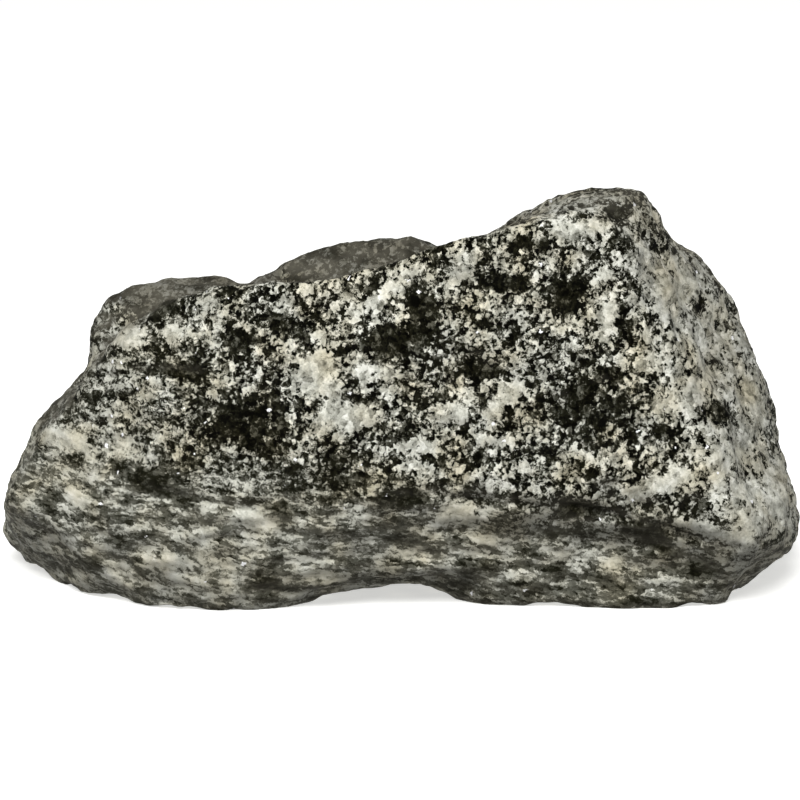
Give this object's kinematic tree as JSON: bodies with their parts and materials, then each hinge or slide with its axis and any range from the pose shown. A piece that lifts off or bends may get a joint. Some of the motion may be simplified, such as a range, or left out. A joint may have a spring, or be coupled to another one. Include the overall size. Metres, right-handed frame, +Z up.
{
  "type": "rough rock",
  "caption": "Rough, broken lump of speckled, banded gneiss with a broad sloping front face, a stepped crest, a shaded ledge near its foot and a flat base to rest on.",
  "frame": {"origin": "under the middle of the stone, on the surface that it rests on", "axes": "+X along the stone towards its tall end, +Y from the broad front face to the back, +Z up"},
  "size_m": [0.11, 0.0626, 0.0527],
  "materials": {
    "gneiss": "rough broken surface, speckled black and white"
  },
  "bodies": {
    "root": {"rock": "gneiss"}
  },
  "joints": []
}
